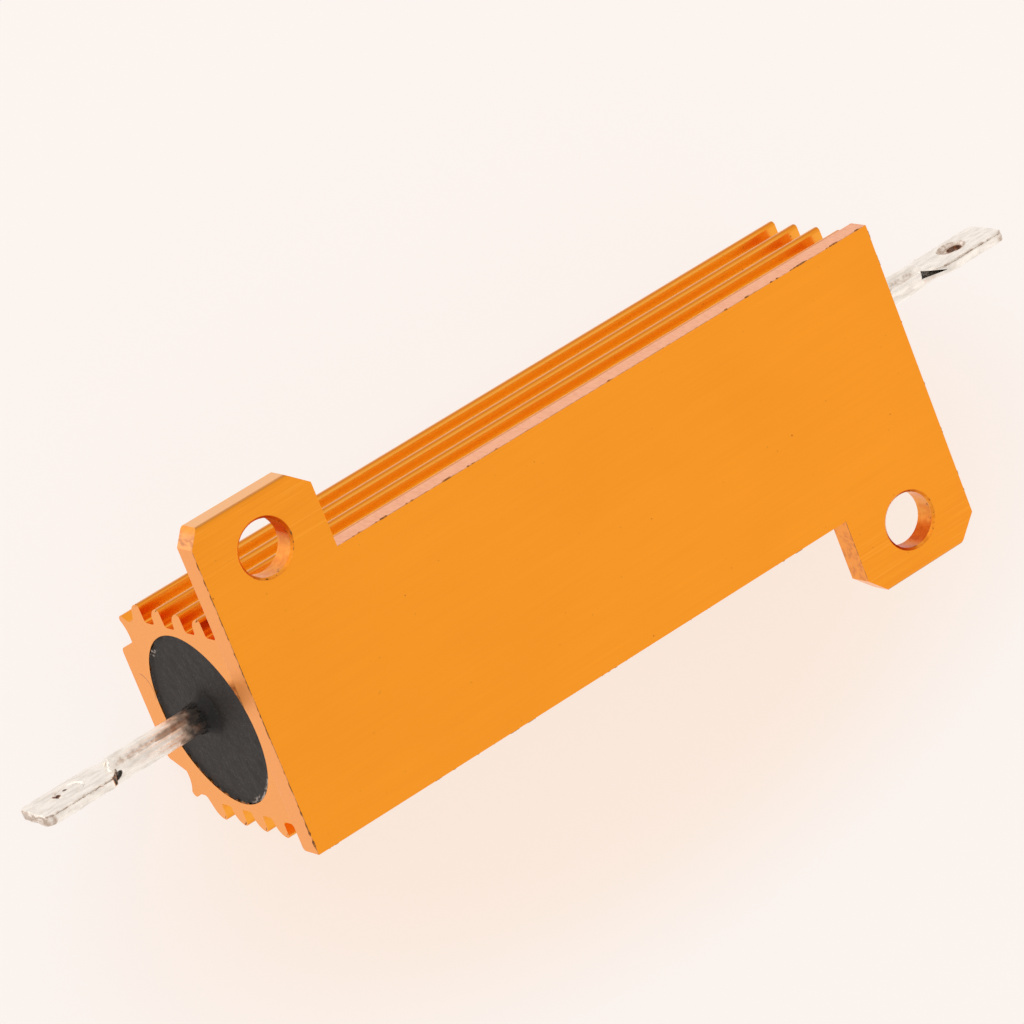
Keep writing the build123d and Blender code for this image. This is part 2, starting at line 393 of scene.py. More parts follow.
@dataclass(frozen=True)
class GoldAnodisedAluminium:
    """Extruded 6063, satin etched, dyed gold in the anodising bath and sealed.

    The oxide is clear and hard, so the metal glows orange from below it and a pale gloss lies on top at flat angles.
    Each fin line, a painted dark reflection or a painted highlight, has its height above the fin's root, half its
    width, the |Y| from which it shows and its colour.
    """

    face: str = "F49A24"
    cut: str = "F99F38"
    fin: str = "FDD474"
    edge: str = "F6B874"
    sawn: str = "F6B184"
    drilled: str = "F09A34"
    torn: str = "7A4211"
    brush_line: float = 0.09
    saw_line: float = 0.13
    plate: float = 1.75
    hole_centre: tuple[float, float] = (20.6, 10.22)
    hole_radius: float = 1.75
    first_fin: float = 2.9
    fin_pitch: float = 2.43
    painted_fin_reflections: tuple[tuple[float, float, float, str], ...] = ((0.24, 0.08, 7.25, "D88012"), (0.7, 0.18, 6.9, "FFC877"))
    scratch_middle: tuple[float, float] = (-1.12, 14.03)
    scratch_radius: float = 1.07

    def material(self) -> bpy.types.Material:
        """Builds the node tree: masks by place and normal choose among face, cut, sawn and drilled metal."""
        material, s = start_material("gold_anodised_aluminium")
        low_down = s.ease(s.z, self.plate + 0.05, self.plate - 0.05)
        side_on = s.ease(s.size(s.nz), 0.75, 0.5)
        end_on = s.ease(s.size(s.nx), 0.55, 0.75)
        outer_edge = s.times(s.ease(s.size(s.y), 12.6, 12.9), s.ease(s.size(s.ny), 0.9, 0.97))
        sawn = s.times(low_down, side_on, s.rest(outer_edge))
        # Brush and die lines run along X; they are drawn a few times coarser than real ones so that they show
        fine = s.noise(self.brush_line, 3.0, s.stretch(0.012, 1.0, 1.0), 0.6)
        saw_marks = s.noise(self.saw_line, 2.0, s.stretch(1.0, 0.25, 0.25), 0.6)
        in_groove, colour = self.add_fins(s, fine, self.bare_face(s, fine))
        colour = s.blend(sawn, colour, s.blend(s.ease(saw_marks, 0.4, 0.7), self.sawn, "EDA375"))
        # The outer edges of the tabs keep the die's skin; the brown line along their bend into the mounting face is a
        # painted dark reflection of the rounded bend
        colour = s.blend(outer_edge, colour, self.edge)
        bend = s.times(s.ease(s.size(s.y), 13.2, 13.25), s.ease(s.z, 0.24, 0.17), s.ease(s.z, 0.03, 0.07))
        colour = s.blend(s.times(bend, 0.65), colour, "C07C24")
        grain = s.ease(s.noise(0.16), 0.35, 0.75)
        colour = s.blend(end_on, colour, s.blend(s.times(grain, 0.4), self.cut, "F0963C"))
        # Saw marks brown the clipped corners, and the edges inside the tabs are smoother and more orange
        slanted = s.times(s.ease(s.size(s.times(s.nx, s.ny)), 0.25, 0.4), low_down)
        streaks = s.ease(s.noise(0.3, 3.0, s.stretch(1.0, 1.0, 0.35)), 0.38, 0.62)
        colour = s.blend(slanted, colour, s.blend(streaks, "F6A65A", "C9804A"))
        inner = s.times(end_on, low_down, s.ease(s.size(s.x), 24.6, 24.3))
        colour = s.blend(inner, colour, s.blend(s.ease(saw_marks, 0.45, 0.7), "F79B32", "DD8230"))
        wall, wall_colour_and_reflection = self.hole_wall(s)
        drilled = s.times(wall, low_down)
        pit, colour = self.add_pits(s, s.rest(sawn), s.blend(drilled, colour, wall_colour_and_reflection))
        colour = self.add_scratch(s, colour)
        # A thin torn line where saw and drill broke out of the mounting face, darkened also as painted shadow of the
        # burrs along it
        ragged = s.ease(s.noise(0.35, 3.0), 0.36, 0.56)
        torn_and_shadowed_line = s.times(s.ease(s.z, 0.11, 0.03), side_on, ragged, s.rest(s.times(slanted, 0.7)), 0.85)
        torn_spots = s.times(drilled, s.ease(s.z, 0.7, 0.1), s.ease(s.noise(0.3, 3.0), 0.62, 0.68))
        colour = s.blend(s.math("MAXIMUM", torn_and_shadowed_line, torn_spots), colour, self.torn)

        # Holes and inner edges are smoother than the saw left the long edges
        toothed = s.scale_add(s.math("MAXIMUM", inner, drilled), -0.85, sawn)
        rough = s.scale_add(fine, 0.12, 0.26)
        for mask, change in ((end_on, -0.08), (sawn, 0.1), (in_groove, -0.13)):
            rough = s.scale_add(mask, change, rough)
        relief = s.scale_add(fine, 0.2, s.times(saw_marks, toothed, 0.9))
        s.surface({
            "Base Color": colour,
            "Roughness": rough,
            "Metallic": 1.0,
            "Coat Weight": s.scale_add(toothed, 0.2, 0.12),
            "Coat Roughness": 0.22,
            "Coat IOR": 1.6,
            "Normal": s.bump(s.math("SUBTRACT", relief, pit), 0.012),
        })
        return material

    def bare_face(self, s: Sheet, fine: object) -> object:
        """Colours the extruded faces.

        Args:
            s: the finish's sheet.
            fine: the brush lines.

        Returns:
            The colour: browner and paler brush lines, which are stronger on the tabs, and a soft cloud.
        """
        on_tab = s.scale_add(s.ease(s.size(s.y), 8.5, 11.0), 0.6, 0.35)
        broad = s.noise(0.9, 2.0, s.stretch(0.03, 1.0, 1.0))
        face = s.blend(s.times(s.ease(fine, 0.35, 0.75), on_tab), self.face, "EE9220")
        face = s.blend(s.times(s.ease(broad, 0.45, 0.7), 0.06), face, "FFA830")
        face = s.blend(s.times(s.ease(s.noise(9.0), 0.4, 0.75), 0.15), face, "E98E1C")
        scored = s.times(s.ease(fine, 0.42, 0.28), s.scale_add(on_tab, 0.7, -0.245))
        return s.blend(scored, face, "FFB750")

    def add_fins(self, s: Sheet, fine: object, colour: object) -> tuple[object, object]:
        """Lays the grooves' tone and the fins' lines over a colour.

        Between the fins light meets the metal two or three times, and the glossier, paler fins keep it orange there.
        Along each fin run an olive line on the tip, a painted dark reflection, and a pale one on its back, a painted
        highlight, at heights that repeat by the pitch.

        Args:
            s: the finish's sheet.
            fine: the brush lines.
            colour: the faces' colour.

        Returns:
            The grooves' mask and the new colour.
        """
        off_axis = s.size(s.y)
        in_groove = s.times(s.ease(s.z, 1.76, 1.84), s.ease(s.z, 12.6, 12.3), s.ease(off_axis, 7.4, 7.0))
        fin = s.blend(s.ease(fine, 0.4, 0.7), self.fin, "FBC460")
        fin = s.blend(s.ease(s.size(s.x), 22.5, 24.6), fin, "F3A238")
        colour = s.blend(in_groove, colour, fin)
        height = s.math("MODULO", s.math("SUBTRACT", s.z, self.first_fin - self.fin_pitch), self.fin_pitch)
        finned = s.times(s.ease(s.z, 2.6, 2.7), s.ease(s.z, 11.5, 11.4))
        # Painted light on the fins: a dark reflection on each tip and a highlight on each back
        for middle, half, start, tone in self.painted_fin_reflections:
            line = s.ease(s.size(s.math("SUBTRACT", height, middle)), half + 0.1, half)
            colour = s.blend(s.times(line, s.ease(off_axis, start, start + 0.08), finned), colour, tone)
        return in_groove, colour

    def hole_wall(self, s: Sheet) -> tuple[object, object]:
        """Colours the two holes' walls, browner on one side as a painted reflection of the dark under the tab.

        Both holes lie on one diagonal, so the place is turned half round for the one at -X.

        Args:
            s: the finish's sheet.

        Returns:
            The mask of the holes' cylinders and the walls' colour, with its painted reflection.
        """
        turn = s.math("SIGN", s.x)
        across, along = (
            s.math("SUBTRACT", s.times(axis, turn), middle)
            for axis, middle in zip((s.x, s.y), self.hole_centre)
        )
        reach = s.reach(across, along)
        side = s.math("DIVIDE", s.scale_add(across, -0.78, s.times(along, 0.62)), reach)
        colour = s.blend(s.ease(s.noise(0.45, 3.0), 0.4, 0.62), self.drilled, "E68624")
        # Painted reflection: the side of each wall that faces the dark under the tab is browner
        colour = s.blend(s.ease(side, 0.5, 0.95), colour, "C84F06")
        return s.ease(reach, self.hole_radius + 0.2, self.hole_radius + 0.12), colour

    def add_pits(self, s: Sheet, smooth_skin: object, colour: object) -> tuple[object, object]:
        """Lays small brown pits of two sizes, and nicks drawn out along two slants, over a colour.

        Args:
            s: the finish's sheet.
            smooth_skin: the mask in which nicks show.
            colour: the colour below.

        Returns:
            The large pits' mask and the new colour.
        """
        pit = s.specks(s.place, 1.3, 0.07, 0.42)
        small = s.specks(s.place, 0.55, 0.05, 0.6)
        right, left = s.specks(s.slant(0.5, 7.0), 1.1, 0.045, 0.93), s.specks(s.slant(-0.9, 5.0), 1.2, 0.05, 0.94)
        nick = s.times(s.math("MAXIMUM", right, left), smooth_skin)
        for mask, share, tone in ((pit, 0.75, "A2560F"), (small, 0.5, "B8701C"), (nick, 0.55, "9A5A18")):
            colour = s.blend(s.times(mask, share), colour, tone)
        return pit, colour

    def add_scratch(self, s: Sheet, colour: object) -> object:
        """Lays one curved scratch on the left end, part of a circle in Y and Z, over a colour."""
        from_arc = s.size(s.math("SUBTRACT", s.reach(s.y, s.z, self.scratch_middle), self.scratch_radius))
        on_end = s.times(s.ease(s.x, -24.9, -24.95), s.ease(s.z, 13.95, 13.75), s.ease(s.y, -0.35, -0.8))
        return s.blend(s.times(s.ease(from_arc, 0.05, 0.02), on_end, 0.75), colour, "8A4A1E")


@dataclass(frozen=True)
class FilledEpoxy:
    """Black mineral-filled moulding compound, as moulded: matte charcoal with fine pale and rusty grains."""

    grain: float = 0.14
    foot_shadow: tuple[float, float] = (-0.45, 7.24)

    def material(self) -> bpy.types.Material:
        """Builds the node tree: a mottled dark base, sparse grains and a grainy bump."""
        material, s = start_material("black_filled_epoxy")
        mottled = s.blend(s.noise(0.9, 4.0), "1E1A17", "2A2420")
        distance, first, second = s.cells(s.place, self.grain)
        speck = s.times(s.math("GREATER_THAN", first, 0.82), s.ease(distance, 0.5, 0.2), 0.4)
        colour = s.blend(speck, mottled, s.blend(s.ease(second, 0.7, 0.9), "5E5955", "6E3E2C"))
        # Painted shadow: the moulding darkens round the foot of the terminal on its lower side
        foot_shadow = s.times(s.ease(s.reach(s.y, s.z, self.foot_shadow), 2.3, 1.1), s.ease(s.z, 7.7, 6.7), 0.8)
        colour = s.blend(foot_shadow, colour, "0D0B0A")
        s.surface({
            "Base Color": s.blend(s.attribute("chipped"), colour, "C9B9AC"),
            "Roughness": s.scale_add(s.noise(0.3), 0.2, 0.56),
            "IOR": 1.52,
            "Specular IOR Level": 0.3,
            "Normal": s.bump(s.scale_add(s.noise(0.6), 1.5, s.noise(0.11, 3.0)), 0.02),
        })
        return material


@dataclass(frozen=True)
class TinnedBrass:
    """Brass strip, hot dipped in tin after forming: bright and slightly lumpy, brown where the tin ran thin."""

    tin: str = "FBF7F0"
    shadow: str = "E2DDD5"
    spangle: str = "8E877E"
    film: str = "BDAA9A"
    brass: str = "A06B4C"
    soot_and_shade: str = "38302A"

    def material(self) -> bpy.types.Material:
        """Builds the node tree: tin, with brass and soot let in by the piece's own stain and soot attributes, which
        also carry painted shade.
        """
        material, s = start_material("tinned_brass")
        streak = s.noise(0.35, 3.0, s.stretch(0.35, 1.0, 1.0))
        tin = s.blend(s.ease(streak, 0.35, 0.75), self.tin, self.shadow)
        tin = s.blend(s.times(s.ease(s.noise(0.12), 0.64, 0.74), 0.22), tin, self.spangle)
        patch = s.ease(s.noise(0.35, 3.0), 0.35, 0.65)
        stain = s.math("ADD", s.attribute("stain"), s.scale_add(patch, 0.24, -0.12))
        soot_and_shade = s.ease(s.math("ADD", s.attribute("soot_and_shade"), s.scale_add(patch, 0.2, -0.1)), 0.1, 0.95)
        colour = s.blend(s.ease(stain, 0.05, 0.5), tin, self.film)
        colour = s.blend(s.ease(stain, 0.5, 0.95), colour, self.brass)
        dull = s.scale_add(s.math("MAXIMUM", stain, soot_and_shade), 0.3, 0.22)
        s.surface({
            "Base Color": s.blend(soot_and_shade, colour, self.soot_and_shade),
            "Roughness": s.scale_add(streak, 0.12, dull),
            "Metallic": s.rest(s.times(soot_and_shade, 0.8)),
            "Normal": s.bump(s.noise(0.4, 3.0), 0.014),
        })
        return material


@dataclass(frozen=True)
class PlainFinish:
    """A hidden piece's finish: one base colour broken up by grain, with its own gloss.

    The name says what the material is; dark and light are the ends of its grain.
    """

    name: str
    light: str
    dark: str
    metal: float
    gloss: float
    wave: float
    streak: tuple[float, float, float] = (1.0, 1.0, 1.0)

    def material(self) -> bpy.types.Material:
        """Builds the node tree: grain between two colours and a little roughness and bump from the same noise."""
        material, s = start_material(self.name)
        grain = s.noise(self.wave, 3.0, s.stretch(*self.streak))
        s.surface({
            "Base Color": s.blend(s.ease(grain, 0.3, 0.7), self.light, self.dark),
            "Roughness": s.scale_add(grain, 0.15, self.gloss),
            "Metallic": self.metal,
            "Normal": s.bump(grain, 0.008),
        })
        return material


# Sintered alumina is chalky white, drawn nickel-chrome is grey with lines along the draw, and plated steel is bright
ALUMINA = PlainFinish("sintered_alumina", "EFEBE2", "DDD7CB", 0.0, 0.55, 0.3)
NICKEL_CHROME = PlainFinish("drawn_nickel_chrome", "B4B0A8", "8D8980", 1.0, 0.3, 0.1, (0.2, 1.0, 1.0))
PLATED_STEEL = PlainFinish("nickel_plated_steel", "CDCAC4", "B0ADA6", 1.0, 0.25, 0.15)
# Torn slivers of dyed oxide look dark brown, because light is lost between their flakes
TORN_METAL = PlainFinish("torn_anodised_metal", "B87028", "6B3E14", 0.35, 0.45, 0.2)


# ---------------------------------------------------------------- the studio


class Side(Enum):
    """Which way a ground sheet faces, and so from where it is seen."""

    UP = 1
    DOWN = -1


@dataclass(frozen=True)
class Lamp:
    """A large soft panel: where it stands in millimetres, its side length and its power in watts."""

    name: str
    stand: tuple[float, float, float]
    width: float
    power: float
    tint: str = "FFFFFF"


@dataclass
class Studio:
    """The camera, the pale ground and the soft lamps.

    The object is modelled on its mounting face and photographed lying on its back, so the picture's table is a
    sheet over the object that only a camera below it sees, and the floor is a sheet under it for views from above.
    """

    table_height: float = 14.95
    floor_height: float = -0.05
    sheet_reach: float = 3000.0
    ground: str = "FDF5F0"
    painted_bounce_tint: str = "FDECDF"
    glow: float = 0.925
    glow_loss: float = 0.09
    bounce_middle: tuple[float, float] = (4.0, 14.0)
    bounce_reach: tuple[float, float] = (44.0, 22.0)
    aim_height: float = 7.0
    lens: float = 230.6
    camera_place: tuple[float, float, float] = (-171.90, -135.11, -325.92)
    camera_right: tuple[float, float, float] = (0.7695, 0.3491, -0.5348)
    camera_down: tuple[float, float, float] = (-0.4726, 0.8745, -0.1093)
    fill: float = 0.85
    opening: tuple[float, float, float] = (-0.430, -0.337, -0.838)
    lamps: tuple[Lamp, ...] = (
        Lamp("key_below", (-520.0, -560.0, -460.0), 900.0, 1.1, "FFFDFA"),
        Lamp("fill_below", (620.0, 360.0, -560.0), 900.0, 0.4, "FFF9F2"),
        Lamp("key_above", (-520.0, -560.0, 560.0), 900.0, 1.1, "FFFDFA"),
        Lamp("fill_above", (620.0, 360.0, 560.0), 900.0, 0.4, "FFF9F2"),
    )

    def build(self) -> None:
        """Sets the view transform and builds camera, world, ground sheets and lamps."""
        bpy.context.scene.view_settings.view_transform = "Standard"
        self.add_camera()
        self.add_world()
        self.add_sheet("table", self.table_height, Side.DOWN)
        self.add_sheet("floor", self.floor_height, Side.UP)
        for lamp in self.lamps:
            self.add_lamp(lamp)

    def add_camera(self) -> None:
        """Places the camera fitted to the photograph: its axes are right, minus down and minus forward."""
        right = Vector(self.camera_right).normalized()
        down = Vector(self.camera_down)
        down = (down - right * down.dot(right)).normalized()
        forward = right.cross(down)
        data = bpy.data.cameras.new("camera")
        data.lens = self.lens
        data.sensor_width = 36.0
        data.sensor_fit = "HORIZONTAL"
        data.clip_start = 0.01
        data.clip_end = 50.0
        axes = Matrix((right, -down, -forward)).transposed().to_4x4()
        camera = add_object("camera", data)
        camera.matrix_world = Matrix.Translation(Vector(self.camera_place) * MM) @ axes
        bpy.context.scene.camera = camera

    def add_world(self) -> None:
        """Makes a pale world: full strength where seen, shaded where mirrored, and a lower fill for diffuse light."""
        world = bpy.data.worlds.new("tent")
        world.use_nodes = True
        tree = world.node_tree
        tree.nodes.clear()
        path = add_node(tree, "ShaderNodeLightPath").outputs
        way = add_node(tree, "ShaderNodeTexCoord").outputs["Generated"]
        # The tent is a little darker low down, and its opening is a soft dark patch
        rise = add_node(tree, "ShaderNodeSeparateXYZ", {0: way}).outputs[2]
        wall = add_node(tree, "ShaderNodeMapRange", {0: rise, 1: -1.0, 2: -0.2, 3: 0.9, 4: 1.0}).outputs[0]
        toward = add_node(tree, "ShaderNodeVectorMath", {0: way, 1: self.opening}, operation="DOT_PRODUCT")
        inputs = {"Value": toward.outputs["Value"], 1: 0.9, 2: 0.985, 3: 1.0, 4: 0.4}
        gap = add_node(tree, "ShaderNodeMapRange", inputs, interpolation_type="SMOOTHSTEP").outputs[0]
        level = add_node(tree, "ShaderNodeMath", {0: wall, 1: gap}, operation="MULTIPLY").outputs[0]
        mirrors = {0: path["Is Glossy Ray"], 1: path["Is Transmission Ray"]}
        glossy = add_node(tree, "ShaderNodeMath", mirrors, operation="MAXIMUM").outputs[0]
        seen, mirrored, filled = (
            add_node(tree, "ShaderNodeBackground", {"Color": linear(tone), "Strength": strength}).outputs[0]
            for tone, strength in ((self.ground, 1.0), (self.ground, level), ("FFFFFF", self.fill))
        )
        inner = add_node(tree, "ShaderNodeMixShader", {0: glossy, 1: filled, 2: mirrored}).outputs[0]
        both = add_node(tree, "ShaderNodeMixShader", {0: path["Is Camera Ray"], 1: inner, 2: seen}).outputs[0]
        add_node(tree, "ShaderNodeOutputWorld", {"Surface": both})
        bpy.context.scene.world = world

    def add_sheet(self, name: str, height: float, side: Side) -> None:
        """Makes one ground sheet that only camera rays on its facing side see, and that keeps a soft shadow.

        Most of its brightness is its own glow, which no shadow takes away, above all on the -Y side as painted key
        light, and past the object's +Y side it is warmed by a painted bounce from the gold metal.

        Args:
            name: the sheet's name.
            height: its height in millimetres.
            side: the way that it faces.
        """
        reach = self.sheet_reach * MM
        corners = [(-reach, -reach), (reach, -reach), (reach, reach), (-reach, reach)][:: side.value]
        mesh = bpy.data.meshes.new(name)
        mesh.from_pydata([(x, y, height * MM) for x, y in corners], [], [(0, 1, 2, 3)])
        material, s = start_material(name + "_paper")
        glow = s.scale_add(s.ease(s.y, -4.0, 16.0), -self.glow_loss, self.glow)
        # Painted bounce light: a warm patch past the object's +Y side
        across, along = (
            s.times(s.math("SUBTRACT", axis, middle), 1 / spread)
            for axis, middle, spread in zip((s.x, s.y), self.bounce_middle, self.bounce_reach)
        )
        colour = s.blend(s.ease(s.reach(across, along), 1.0, 0.45), self.ground, self.painted_bounce_tint)
        tree = s.tree
        paper = add_node(tree, "ShaderNodeBsdfDiffuse", {"Color": colour})
        light = add_node(tree, "ShaderNodeEmission", {"Color": colour, "Strength": 1.0})
        lit = add_node(tree, "ShaderNodeMixShader", {0: glow, 1: paper.outputs[0], 2: light.outputs[0]})
        path = add_node(tree, "ShaderNodeLightPath")
        facing = add_node(tree, "ShaderNodeNewGeometry")
        front = s.times(path.outputs["Is Camera Ray"], s.rest(facing.outputs["Backfacing"]))
        clear = add_node(tree, "ShaderNodeBsdfTransparent")
        both = add_node(tree, "ShaderNodeMixShader", {0: front, 1: clear.outputs[0], 2: lit.outputs[0]})
        add_node(tree, "ShaderNodeOutputMaterial", {"Surface": both.outputs[0]})
        mesh.materials.append(material)
        add_object(name, mesh)

    def add_lamp(self, lamp: Lamp) -> None:
        """Adds one soft panel that looks at the middle of the object."""
        data = bpy.data.lights.new(lamp.name, "AREA")
        data.shape = "SQUARE"
        data.size = lamp.width * MM
        data.energy = lamp.power
        data.color = linear(lamp.tint)[:3]
        panel = add_object(lamp.name, data)
        panel.location = Vector(lamp.stand) * MM
        aim = Vector((0, 0, self.aim_height)) * MM - panel.location
        panel.rotation_euler = aim.to_track_quat("-Z", "Y").to_euler()


# ---------------------------------------------------------------- the object


def dress_node(node: str, material: bpy.types.Material) -> None:
    """Gives a carried-over solid its finish.

    Args:
        node: the solid's name.
        material: its finish.
    """
    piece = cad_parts[node]
    piece.data.materials.clear()
    piece.data.materials.append(material)
    LOG.info("%s dressed as %s", node, material.name)


class End(Enum):
    """The resistor's two ends, by the sign of X."""

    LEFT = -1
    RIGHT = 1


@dataclass
class Burr:
    """A torn sliver left by saw or drill: a low ragged ridge along a line.

    Its section is a small closed ring whose radius follows seeded noise along the line and fades at both ends.
    Cover is the share of the line on which it stands up, and wave the longest tooth in millimetres.
    """

    name: str
    line: np.ndarray
    thick: float
    seed: int
    cover: float = 0.5
    wave: float = 0.9

    def mesh(self) -> bpy.types.Mesh:
        """Carries the ring along the line: place = line + radius(t) * (cos u, sin u) across the line."""
        steps = np.linalg.norm(np.diff(self.line, axis=0), axis=1)
        length = np.concatenate([[0.0], np.cumsum(steps)])
        at = np.linspace(0, length[-1], max(12, int(length[-1] / 0.06)))
        path = np.stack([np.interp(at, length, self.line[:, k]) for k in range(3)], axis=-1)
        way = unit(np.gradient(path, axis=0))
        side = unit(np.cross(way, (0.31, 0.22, 0.92)))
        lift = np.cross(way, side)
        ragged = smooth(ripple(path, self.wave, self.seed, 4), 0.6 - 1.4 * self.cover, 1.1)
        fade = smooth(at, 0, 0.3) * smooth(at[-1] - at, 0, 0.3)
        radius = self.thick * (0.06 + ragged) * (0.05 + 0.95 * fade)
        turn = full_turn(6)[:, None]
        ring = side[:, None] * np.cos(turn) + lift[:, None] * np.sin(turn)
        return grid_mesh(self.name, path[:, None] + radius[:, None, None] * ring)


@dataclass
class Housing:
    """The finned extrusion: its solid stays, and torn slivers are laid along its sawn and drilled edges."""

    half_length: float = 25.0
    half_narrow: float = 8.0
    hole: tuple[float, float] = (20.6, 10.22)
    hole_rim: float = 1.9
    bore: float = 5.68
    axis_height: float = 7.24
    fin_levels: tuple[float, ...] = (3.2, 5.63, 8.06, 10.49)
    fin_tip: float = 7.3

    def dress(self) -> None:
        """Puts the anodised finish on the solid and adds the slivers."""
        dress_node("housing", GoldAnodisedAluminium().material())
        torn = TORN_METAL.material()
        for burr in [*self.edge_burrs(), *self.round_burrs(), *self.fin_burrs()]:
            piece = place(burr.mesh(), burr.name, torn, 1.2)

    def edge_burrs(self) -> list[Burr]:
        """Lists the slivers of both short edges and the sawn long edges, and four nicks."""
        end, side = self.half_length, self.half_narrow
        found = [
            Burr("burr_left_edge", self.run((-end, -12.2), (-end, 5.0)), 0.05, 3, 0.9),
            Burr("burr_left_corner", self.run((-end, 4.6), (-end, side - 0.1)), 0.075, 4, 0.9, 0.6),
            Burr("burr_right_edge", self.run((end, -side + 0.1), (end, 11.8)), 0.05, 5, 0.3),
            Burr("burr_upper_edge", self.run((-16.0, -side), (24.6, -side)), 0.06, 6, 0.1, 0.7),
            Burr("burr_lower_edge", self.run((-24.6, side), (16.0, side)), 0.045, 7, 0.08, 0.8),
        ]
        # Four nicks: two on the upper edge, one on the lower and one on the right
        nicks = (
            ((-9.75, -side), (-9.1, -side)),
            ((15.8, -side), (16.3, -side)),
            ((-5.1, side), (-4.65, side)),
            ((end, 1.65), (end, 2.2)),
        )
        for number, (start, stop) in enumerate(nicks):
            found.append(Burr(f"nick_{number}", self.run(start, stop), 0.085, 50 + number, 1.0, 0.5))
        return found

    def round_burrs(self) -> list[Burr]:
        """Lists the slivers of both hole rims and of the bore's left rim."""
        found = []
        for end, start, stop in ((End.LEFT, -0.5, 0.75), (End.RIGHT, -0.35, 0.5)):
            turn = np.linspace(start, stop, 40)
            x = end.value * self.hole[0] + self.hole_rim * np.cos(turn)
            y = end.value * self.hole[1] + self.hole_rim * np.sin(turn)
            rim = np.stack([x, y, np.full_like(x, 0.03)], axis=-1)
            found.append(Burr(f"burr_hole_{end.name.lower()}", rim, 0.05, 8 + end.value, 0.8, 0.7))
        turn = np.linspace(-0.12, 0.85, 60)
        y, z = self.bore * np.cos(turn), self.axis_height + self.bore * np.sin(turn)
        rim = np.stack([np.full_like(turn, 0.06 - self.half_length), y, z], axis=-1)
        found.append(Burr("burr_bore_left", rim, 0.085, 40, 0.6, 0.5))
        return found

    def fin_burrs(self) -> list[Burr]:
        """Lists the slivers of the fins' left corners."""
        found = []
        end = -self.half_length
        for number, level in enumerate(self.fin_levels):
            for word, side in (("near", -1), ("far", 1)):
                y = side * self.fin_tip
                line = np.array([(end, y - 0.25, level - 0.2), (end, y, level), (end, y + 0.12, level + 0.3)])
                found.append(Burr(f"burr_fin_{number}_{word}", line, 0.05, 20 + number, 0.8))
        return found

    @staticmethod
    def run(start: tuple[float, float], stop: tuple[float, float]) -> np.ndarray:
        """Gives a straight line between two points of the mounting face's outline, just above the face."""
        return np.array([(*start, 0.05), (*stop, 0.05)])


@dataclass
class MouldingFace:
    """The moulding's face at one end: a rough disc, a torn collar climbing the terminal and a ragged rim.

    A polar sheet laid over the solid's own face, closed behind it.
    """

    end: End
    seed: int
    face: float = 24.8
    roughness: float = 0.012
    collar_radius: float = 1.5
    collar_height: float = 0.52
    axis: tuple[float, float] = (-0.45, 7.24)
    bore: tuple[float, float] = (0.0, 7.24)
    inner: float = 0.86
    outer: float = 5.69
    columns: int = 300

    def build(self, material: bpy.types.Material) -> None:
        """Builds the sheet: height = rough disc + collar + meniscus, by the distances to the terminal and the wall."""
        bands = ((0, 0.16, 26), (0.16, 0.9, 40), (0.9, 1, 22))
        share = np.concatenate([np.linspace(*band)[:-1] for band in bands] + [[1.0]])
        turn = full_turn(self.columns)
        circle = np.stack([np.cos(turn), np.sin(turn)], axis=-1)
        start = np.array(self.axis) + self.inner * circle
        stop = np.array(self.bore) + self.outer * circle
        flat = start[None] + share[:, None, None] * (stop - start)[None]
        near = np.linalg.norm(flat - np.array(self.axis), axis=-1)
        wall = self.outer - np.linalg.norm(flat - np.array(self.bore), axis=-1)
        rough = self.roughness * ripple(flat, 1.6, self.seed, 4) + 0.03
        cone = np.clip((self.collar_radius - near) / 0.42, 0, 1.35)
        torn = np.clip(0.25 + 0.45 * ripple(circle * 1.2, 1.5, self.seed + 1, 4), 0, 0.6)
        collar = self.collar_height * cone + smooth(near, 1.06, 0.98) * torn[None]
        climb = 0.09 + 0.08 * ripple(circle * 5.7, 1.4, self.seed + 2, 4)
        meniscus = smooth(wall, 0.3, 0.0) * np.clip(climb, 0, 0.17)[None]
        height = rough + collar + meniscus
        front = self.stand(flat, self.face + height)
        back = self.stand(flat[[-1, 0]], np.full((2, self.columns), self.face - 0.1))
        mesh = grid_mesh(f"moulding_face_{self.end.name.lower()}", np.concatenate([front, back]), Ends.LOOP)
        places = positions(mesh)
        y, z = places[:, 1] - self.bore[0], places[:, 2] - self.bore[1]
        angle, reach = np.arctan2(z, y), np.hypot(y, z)
        spot = smooth(ripple(places, 0.35, self.seed + 3, 2), 0.1, 0.5)
        lower, upper = smooth(np.cos(angle + 0.62), 0.9, 0.97), smooth(np.cos(angle - 2.38), 0.9975, 0.999)
        chipped = np.maximum(0.8 * lower, upper)
        write_attribute(mesh, "chipped", smooth(reach, 5.3, 5.55) * chipped * spot)
        piece = place(mesh, mesh.name, material, 1.3)

    def stand(self, flat: np.ndarray, out: np.ndarray) -> np.ndarray:
        """Stands (y, z) places up at X = out times the end's sign."""
        return np.stack([self.end.value * out, flat[..., 0], flat[..., 1]], axis=-1)


